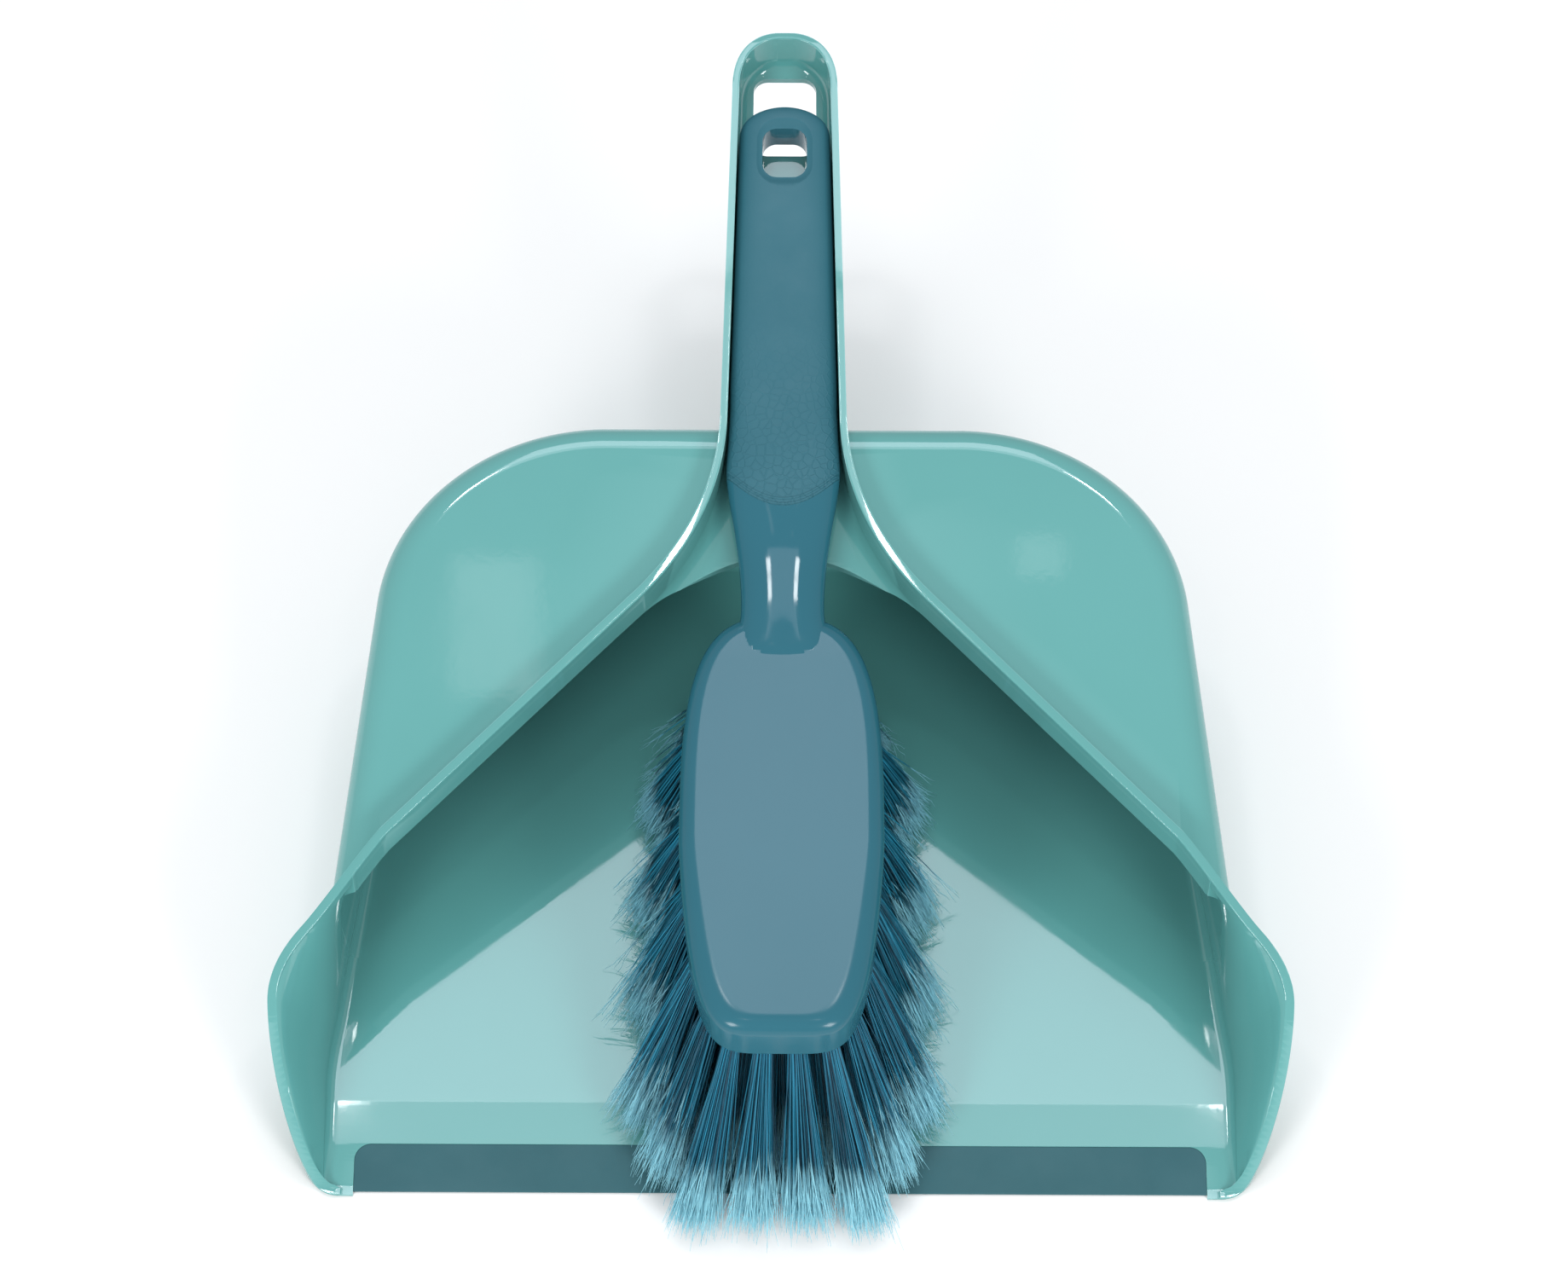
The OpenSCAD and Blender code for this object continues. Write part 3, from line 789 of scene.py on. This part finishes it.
class Strands:
    """Thin tapered tubes in one mesh, which keeps each point's place along its bristle and a tone."""

    def __init__(self):
        self.verts, self.faces, self.along, self.tones = [], [], [], []

    def tube(self, points, radii, along, sides, tone):
        base = len(self.verts)
        points = np.asarray(points)
        ahead = np.gradient(points, axis=0)
        ahead /= np.linalg.norm(ahead, axis=1)[:, None]
        u = np.cross(ahead, [0.31, 0.95, 0.02])
        u /= np.linalg.norm(u, axis=1)[:, None]
        w = np.cross(ahead, u)
        turns = np.arange(sides) * 2 * math.pi / sides
        for p, a, b, r, s in zip(points, u, w, radii, along):
            for t in turns:
                self.verts.append(p + r * (math.cos(t) * a + math.sin(t) * b))
                self.along.append(s)
                self.tones.append(tone)
        for k in range(len(points) - 1):
            for i in range(sides):
                j = (i + 1) % sides
                lo, hi = base + k * sides, base + (k + 1) * sides
                self.faces.append((lo + i, lo + j, hi + j, hi + i))
        last = base + (len(points) - 1) * sides
        self.faces.append(tuple(base + i for i in range(sides - 1, -1, -1)))
        self.faces.append(tuple(last + i for i in range(sides)))

    def build(self, name):
        obj = mesh_object(name, self.verts, self.faces)
        for key, values in (("along", self.along), ("tone", self.tones)):
            layer = obj.data.attributes.new(key, "FLOAT", "POINT")
            layer.data.foreach_set("value", np.array(values, np.float32))
        obj.data.shade_smooth()
        return obj


def above_floor(p, clear):
    """Keeps a bristle's point above the pan's floor, or the ground in front of the lip."""
    low = floor_z(max(0.0, p[1])) if p[1] > 0 else 0.2
    return vec(p[0], p[1], max(p[2], low + clear))


def split_end(strands, place, thick, tone, rng):
    """One of the thinner ends into which a bristle's tip splits."""
    fray = rng.normal(0, 1, 3) * vec(1, 1, 0.4) * rng.uniform(0.6, 1.6)
    kink = rng.normal(0, 0.28, 3)
    end = rng.uniform(0.95, 1.05)
    ts = [SPLIT_FROM - 0.02, SPLIT_FROM + 0.08, 0.88, 0.94, end]
    points = []
    for i, t in enumerate(ts):
        s = max(0, (t - SPLIT_FROM) / (1 - SPLIT_FROM))
        points.append(above_floor(place(t) + fray * s**1.4 + kink * (i % 2) * s, 0.2))
    strands.tube(points, [thick * k for k in BRANCH_TAPER], [min(1.0, t) for t in ts], 3, tone)


def tuft_mesh(r, p, rng):
    """One tuft: straight bristles that spread from their hole and split at their tips."""
    across, along, down, hole = tuft_place(r, p)
    outer = p in (0, ROW_COUNTS[r] - 1)
    fanned = outer and r > 0
    count = BRISTLES_SIDE if outer else BRISTLES_FRONT if r == 0 else BRISTLES_INNER
    splay = SIDE_SPLAY[r] if outer else 0.0
    opening = 0.7 if fanned else 1.1
    wide = 1.3 if r == 0 else 1.15
    deep = 1 + 1.3 * abs(tuft_x(r, p)) / HEAD_X * (r > 0)
    strands = Strands()
    for k in range(count):
        # sunflower spread over the hole, so that bristles neither bunch nor leave a gap
        rho = math.sqrt((k + 0.5) / count)
        turn = k * GOLDEN_ANGLE + rng.normal(0, 0.12)
        out = across * math.cos(turn) * wide + along * math.sin(turn) * deep
        stray = rng.random() < STRAY_SHARE
        spread = TIP_R * 1.08 * rho * rng.normal(1, 0.12) + STRAY_SPREAD * stray
        wander = rng.normal(0, 0.5 + 1.8 * stray, 2)
        sideways = math.copysign(splay, splay * tuft_x(r, p)) * rng.uniform(0.2, 1.1)
        sweep = vec(sideways, -FORWARD_SWEEP[r] * rng.uniform(0.5, 1.1), 0)
        bend = across * wander[0] + along * wander[1] + sweep
        short = 0.0
        if rng.random() < SHORT_SHARE:
            short = (SHORT_SIDE if fanned else SHORT_INNER) * rng.random()
        end_z = TIP_Z - 0.8 + abs(rng.normal(0, 1.2)) + short
        reach = (HEAD_Z - end_z) / -down[2]

        def place(t, out=out, bend=bend, reach=reach, rho=rho, spread=spread):
            """Point at share t of the length below the head; below 0 it is inside the hole."""
            width = mix(TUFT_R * 0.86 * rho, spread, max(0.0, t) ** opening)
            q = hole + down * reach * t + out * width + bend * max(0.0, t) ** 1.35
            return above_floor(q, 0.35)

        ts = [-ROOT_DEPTH / reach, 0.0, 0.2, 0.4, 0.6, SPLIT_FROM]
        thick = BRISTLE_R * rng.uniform(0.85, 1.1)
        tone = rng.random()
        strands.tube([place(t) for t in ts], [thick] * len(ts), ts, 4, tone)
        for _ in range(BRANCHES):
            split_end(strands, place, thick, tone, rng)
    return strands


# ---------------------------------------------------------------- materials


class Finish:
    """Builds one material's node tree."""

    def __init__(self, name):
        self.mat = bpy.data.materials.new(name)
        self.mat.use_nodes = True
        self.tree = self.mat.node_tree
        self.shader = self.tree.nodes["Principled BSDF"]
        self.coords = self.add("ShaderNodeTexCoord").outputs["Object"]

    def add(self, kind):
        return self.tree.nodes.new(kind)

    def put(self, socket, value):
        """Links a socket to the input, or sets it to a constant."""
        if isinstance(value, bpy.types.NodeSocket):
            self.tree.links.new(value, socket)
        else:
            socket.default_value = value

    def noise(self, scale, detail=3.0, rough=0.5, stretch=(1, 1, 1)):
        """Noise in the object's own space, with scale in cells per metre."""
        mapping = self.add("ShaderNodeMapping")
        self.put(mapping.inputs["Vector"], self.coords)
        mapping.inputs["Scale"].default_value = stretch
        made = self.add("ShaderNodeTexNoise")
        self.put(made.inputs["Vector"], mapping.outputs["Vector"])
        made.inputs["Scale"].default_value = scale
        made.inputs["Detail"].default_value = detail
        made.inputs["Roughness"].default_value = rough
        return made.outputs["Fac"]

    def ramp(self, value, lo, hi, to_lo, to_hi):
        """Maps lo to hi on to_lo to to_hi, and clamps."""
        made = self.add("ShaderNodeMapRange")
        names = ("Value", "From Min", "From Max", "To Min", "To Max")
        for key, v in zip(names, (value, lo, hi, to_lo, to_hi)):
            self.put(made.inputs[key], v)
        return made.outputs["Result"]

    def blend(self, factor, a, b):
        made = self.add("ShaderNodeMix")
        made.data_type = "RGBA"
        self.put(made.inputs[0], factor)
        self.put(made.inputs[6], a)
        self.put(made.inputs[7], b)
        return made.outputs[2]

    def math(self, operation, a, b):
        made = self.add("ShaderNodeMath")
        made.operation = operation
        self.put(made.inputs[0], a)
        self.put(made.inputs[1], b)
        return made.outputs[0]

    def bump(self, height, distance, normal=None):
        made = self.add("ShaderNodeBump")
        made.inputs["Strength"].default_value = 1.0
        made.inputs["Distance"].default_value = distance
        self.put(made.inputs["Height"], height)
        if normal is not None:
            self.put(made.inputs["Normal"], normal)
        return made.outputs["Normal"]

    def layer(self, key):
        """A value that the mesh carries for each point."""
        made = self.add("ShaderNodeAttribute")
        made.attribute_name = key
        return made.outputs["Fac"]

    def edges(self, lo, hi):
        """1 on outward edges, 0 elsewhere."""
        made = self.add("ShaderNodeNewGeometry")
        return self.ramp(made.outputs["Pointiness"], lo, hi, 0.0, 1.0)


def linear(r, g, b):
    """Linear colour from 0-255 display values."""
    shares = [c / 255 for c in (r, g, b)]
    return tuple(((c + 0.055) / 1.055) ** 2.4 if c > 0.04 else c / 12.92 for c in shares) + (1.0,)


# colour, and paler colour where it is worn
PAN_COLOURS = (linear(93, 160, 158), linear(150, 200, 200))
LIP_COLOURS = (linear(44, 90, 98), linear(56, 101, 109))
BRUSH_COLOURS = (linear(42, 101, 117), linear(76, 130, 146))
GRIP_COLOURS = (linear(44, 99, 113), linear(52, 106, 120))
BRISTLE_DARK = linear(8, 58, 78)
BRISTLE_LIGHT = linear(34, 134, 166)
BRISTLE_TIP = linear(146, 212, 228)
STEEL_BRIGHT = linear(176, 180, 184)
STEEL_DULL = linear(142, 146, 150)
FLOOR_GREY = (0.90, 0.90, 0.90, 1.0)
FLOOR_WHITE = (0.93, 0.93, 0.93, 1.0)
RUBBER_IOR = 1.36
SATIN_HEAD = (128.0, 0.11)  # the brush head in front of this y has this much more roughness


def moulded_plastic(name, colour, worn, rough, ior, satin=None):
    """Glossy injection-moulded plastic: faint flow clouding, orange peel, fine rub marks, paler edges."""
    f = Finish(name)
    clouds = f.noise(14.0, 4.0, 0.55)
    body = f.blend(f.ramp(clouds, 0.3, 0.7, 0.0, 0.5), colour, tuple(c * 0.9 for c in colour[:3]) + (1,))
    body = f.blend(f.math("MULTIPLY", f.edges(0.53, 0.62), 0.35), body, worn)
    f.put(f.shader.inputs["Base Color"], body)
    rubs = f.noise(260.0, 6.0, 0.7, (1, 0.12, 1))
    smear = f.noise(22.0, 3.0, 0.6)
    patchy = f.math("ADD", f.ramp(smear, 0.35, 0.7, rough - 0.01, rough + 0.03),
                    f.ramp(rubs, 0.5, 0.75, 0.0, 0.02))
    if satin is not None:
        # a duller finish in front of the given y
        split = f.add("ShaderNodeSeparateXYZ")
        f.put(split.inputs[0], f.coords)
        edge, amount = MM * (satin[0] - REST_Y), satin[1]
        patchy = f.math("ADD", patchy, f.ramp(split.outputs["Y"], edge - 0.004, edge + 0.004, amount, 0.0))
    f.put(f.shader.inputs["Roughness"], patchy)
    f.shader.inputs["IOR"].default_value = ior
    peel = f.bump(f.noise(420.0, 2.0, 0.5), 0.000004)
    f.put(f.shader.inputs["Normal"], f.bump(rubs, 0.0000012, peel))
    return f.mat


def soft_rubber(name, colour, worn, grain, pattern=None):
    """Matt thermoplastic rubber with a fine stipple and slightly polished high spots."""
    f = Finish(name)
    clouds = f.noise(30.0, 4.0, 0.6)
    body = f.blend(f.ramp(clouds, 0.35, 0.7, 0.0, 0.6), colour, worn)
    body = f.blend(f.math("MULTIPLY", f.edges(0.52, 0.6), 0.3), body, worn)
    f.put(f.shader.inputs["Base Color"], body)
    f.put(f.shader.inputs["Roughness"], f.ramp(f.noise(55.0, 5.0, 0.65), 0.3, 0.7, 0.44, 0.6))
    f.shader.inputs["IOR"].default_value = RUBBER_IOR
    stipple = f.bump(f.noise(grain, 3.0, 0.6), 0.00003)
    if pattern is not None:
        stipple = pattern(f, stipple)
    f.put(f.shader.inputs["Normal"], stipple)
    return f.mat


def grip_pattern(f, normal):
    """A fine raised net of cells that fades out towards the end of the grip."""
    cells = f.add("ShaderNodeTexVoronoi")
    cells.feature = "DISTANCE_TO_EDGE"
    f.put(cells.inputs["Vector"], f.coords)
    cells.inputs["Scale"].default_value = GRIP_CELLS
    lines = f.ramp(cells.outputs["Distance"], 0.02, 0.09, 1.0, 0.0)
    split = f.add("ShaderNodeSeparateXYZ")
    f.put(split.inputs[0], f.coords)
    ends = [MM * (y - REST_Y) for y in GRIP_PATTERN_FADE]
    lines = f.math("MULTIPLY", lines, f.ramp(split.outputs["Y"], ends[0], ends[1], 1.0, 0.0))
    return f.bump(lines, 0.00009, normal)


def bristle_fibre(name, dark, light, tip):
    """Glossy filaments, each a little different, going pale where the tips are split."""
    f = Finish(name)
    along, tone = f.layer("along"), f.layer("tone")
    streaks = f.noise(900.0, 2.0, 0.6, (1, 1, 0.05))
    shade = f.math("ADD", f.math("MULTIPLY", tone, 0.85), f.math("MULTIPLY", streaks, 0.3))
    body = f.blend(f.ramp(shade, 0.2, 0.95, 0.0, 1.0), light, dark)
    frayed = f.ramp(f.math("ADD", along, f.math("MULTIPLY", f.noise(160.0, 2.0), 0.12)), 0.72, 0.88, 0.0, 1.0)
    body = f.blend(frayed, body, tip)
    f.put(f.shader.inputs["Base Color"], body)
    f.put(f.shader.inputs["Roughness"], f.ramp(along, 0.6, 0.9, 0.32, 0.55))
    f.put(f.shader.inputs["Normal"], f.bump(streaks, 0.00002))
    return f.mat


def galvanised_steel(name):
    f = Finish(name)
    f.shader.inputs["Metallic"].default_value = 1.0
    grain = f.ramp(f.noise(700.0, 4.0), 0.35, 0.65, 0.0, 1.0)
    f.put(f.shader.inputs["Base Color"], f.blend(grain, STEEL_BRIGHT, STEEL_DULL))
    f.put(f.shader.inputs["Roughness"], f.ramp(f.noise(900.0, 4.0), 0.3, 0.7, 0.25, 0.45))
    f.put(f.shader.inputs["Normal"], f.bump(f.noise(1500.0, 2.0), 0.00001))
    return f.mat


def studio_floor(name):
    f = Finish(name)
    f.put(f.shader.inputs["Base Color"], f.blend(f.noise(3.0), FLOOR_GREY, FLOOR_WHITE))
    f.shader.inputs["Roughness"].default_value = 0.9
    return f.mat


def wear(obj, material):
    obj.data.materials.clear()
    obj.data.materials.append(material)


# ---------------------------------------------------------------- pieces


def piece(obj, body, material, node):
    wear(obj, material)
    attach(obj, body)
    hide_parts(node)


def build_pan():
    pan = pan_solid()
    pan.name = "pan_shell"
    smooth(pan, 28)
    finish = moulded_plastic("pan_plastic", *PAN_COLOURS, 0.04, 1.6)
    piece(pan, "pan", finish, "pan_body")


def lip_ceiling():
    """Everything above the lip's sloping top, well past its sides."""
    rings = []
    for y in (-5, 30):
        z = LIP_Z + y * (RAMP_Z - LIP_Z) / LIP_Y
        rings.append([(-150, y, z), (150, y, z), (150, y, 20), (-150, y, 20)])
    return loft("lip_top", rings)


def build_lip():
    """The soft lip, over the pan's tongue and in front of it, with small rounds on its edges."""
    outline = lip_outline(0, 0.0)
    over = prism("lip", outline, TONGUE_Z + GAP, 6)
    front_y = TONGUE_Y - GAP
    behind = prism("tongue", [(-150, front_y), (150, front_y), (150, 40), (-150, 40)], -2, 8)
    front = cut(prism("lip_front", outline, 0, 6), behind)
    lip = cut(union(over, front), lip_ceiling())
    lip.name = "soft_lip"
    bevel = lip.modifiers.new("round", "BEVEL")
    bevel.width = 0.00012
    bevel.segments = 2
    bevel.limit_method = "ANGLE"
    smooth(lip, 35)
    finish = soft_rubber("lip_rubber", *LIP_COLOURS, 900.0)
    piece(lip, "pan", finish, "pan_lip")


def build_brush():
    body = union(head(), cut(stick("stick", 0), grip_zone("grip_zone", GAP)))
    body = union(body, stick("core", GRIP_T + GAP))
    body = cut(body, brush_hole("brush_hole"))
    body.name = "brush_moulding"
    smooth(body, 32)
    finish = moulded_plastic("brush_plastic", *BRUSH_COLOURS, 0.06, 1.36, SATIN_HEAD)
    piece(body, "brush", finish, "brush_body")


def build_grip():
    grip = common(stick("grip_skin", 0), grip_zone("zone", 0))
    grip = cut(grip, stick("grip_core", GRIP_T))
    grip = cut(grip, brush_hole("grip_hole"))
    grip = cut(grip, hole_dish("grip_dish"))
    for line in GRIP_LINES:
        grip = union(grip, grip_ridge("ridge", line))
    grip.name = "soft_grip"
    smooth(grip, 32)
    finish = soft_rubber("grip_rubber", *GRIP_COLOURS, 1200.0, grip_pattern)
    piece(grip, "brush", finish, "brush_grip")


def build_tufts():
    rng = np.random.default_rng(11)
    fibre = bristle_fibre("bristle_fibre", BRISTLE_DARK, BRISTLE_LIGHT, BRISTLE_TIP)
    for r, count in enumerate(ROW_COUNTS):
        for p in range(count):
            name = f"{r + 1:02d}_{p + 1}"
            tuft = tuft_mesh(r, p, rng).build("bristles_" + name)
            piece(tuft, "brush", fibre, "tuft_" + name)


# ---------------------------------------------------------------- studio


def area_light(name, place, target, size, power_w, colour=(1, 1, 1)):
    """A soft rectangular lamp, in metres and watts, whose width lies across the scene."""
    data = bpy.data.lights.new(name, "AREA")
    data.shape = "RECTANGLE"
    data.size, data.size_y = size
    data.energy = power_w
    data.color = colour
    lamp = bpy.data.objects.new(name, data)
    back = (Vector(place) - Vector(target)).normalized()
    across = Vector((0, 1, 0)).cross(back).normalized()
    lamp.matrix_world = Matrix((across, back.cross(across), back)).transposed().to_4x4()
    lamp.location = place
    bpy.context.scene.collection.objects.link(lamp)


FLOOR_HALF = 4.0  # m
WORLD_STRENGTH = 0.64
COOL_WHITE = (0.95, 1.0, 1.1)


def build_studio():
    ground = bpy.data.meshes.new("studio_floor")
    corners = [(x * FLOOR_HALF, y * FLOOR_HALF, 0) for x, y in ((-1, -1), (1, -1), (1, 1), (-1, 1))]
    ground.from_pydata(corners, [], [(0, 1, 2, 3)])
    floor = bpy.data.objects.new("studio_floor", ground)
    bpy.context.scene.collection.objects.link(floor)
    wear(floor, studio_floor("studio_floor"))
    floor.location.z = -0.0002

    world = bpy.data.worlds.new("studio")
    world.use_nodes = True
    world.node_tree.nodes["Background"].inputs["Color"].default_value = (1, 1, 1, 1)
    world.node_tree.nodes["Background"].inputs["Strength"].default_value = WORLD_STRENGTH
    bpy.context.scene.world = world

    # mirrored in the pan's floor and in the top of the brush head
    area_light("softbox_back", (0.0, 0.57, 1.17), (0, 0.0, 0.0), (0.6, 0.42), 3.1, COOL_WHITE)
    # mirrored in the ramp behind the lip
    area_light("softbox_middle", (0.0, 0.28, 1.17), (0, -0.08, 0.0), (0.56, 0.14), 0.5, COOL_WHITE)
    # two small windows straight above, mirrored in the hood's roof
    area_light("window_left", (-0.148, 0.088, 1.2), (-0.077, 0.04, 0.06), (0.045, 0.07), 0.012)
    area_light("window_right", (0.132, 0.125, 1.2), (0.069, 0.056, 0.06), (0.024, 0.02), 0.0016)
    for side, name in ((-1, "left"), (1, "right")):
        # lights the inside of the pan, and is mirrored in the front corners of the brush head
        area_light("softbox_front_" + name, (side * 0.7, -1.05, 0.75), (0, 0.0, 0.03), (0.4, 0.4), 7.5)
        # mirrored in the crown of the brush's neck
        area_light("strip_" + name, (side * 0.27, 0.31, 1.15), (0, 0.05, 0.07), (0.09, 0.07), 0.6)
        # mirrored low on the neck and in the shoulder of the brush head
        area_light("lamp_" + name, (side * 0.2, -0.4, 1.2), (0, 0.03, 0.07), (0.06, 0.06), 0.17)


CAMERA_PLACE = (0.0004, -0.5808, 1.1258)  # m
CAMERA_TILT = 30.0  # degrees from straight down
CAMERA_ROLL = 0.25


def build_camera():
    """The photograph's view: 60 degrees above the horizon, with a slight roll."""
    data = bpy.data.cameras.new("camera")
    data.sensor_width = 36.0
    data.lens = 106.04
    camera = bpy.data.objects.new("camera", data)
    camera.location = CAMERA_PLACE
    roll = Matrix.Rotation(math.radians(CAMERA_ROLL), 4, "Z")
    aim = Matrix.Rotation(math.radians(CAMERA_TILT), 4, "X") @ roll
    camera.rotation_euler = aim.to_euler()
    bpy.context.scene.collection.objects.link(camera)
    bpy.context.scene.camera = camera


build_pan()
build_lip()
build_brush()
build_grip()
build_tufts()
wear(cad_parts["tuft_anchors"], galvanised_steel("anchor_steel"))
build_studio()
build_camera()
bpy.context.scene.view_settings.view_transform = "Standard"
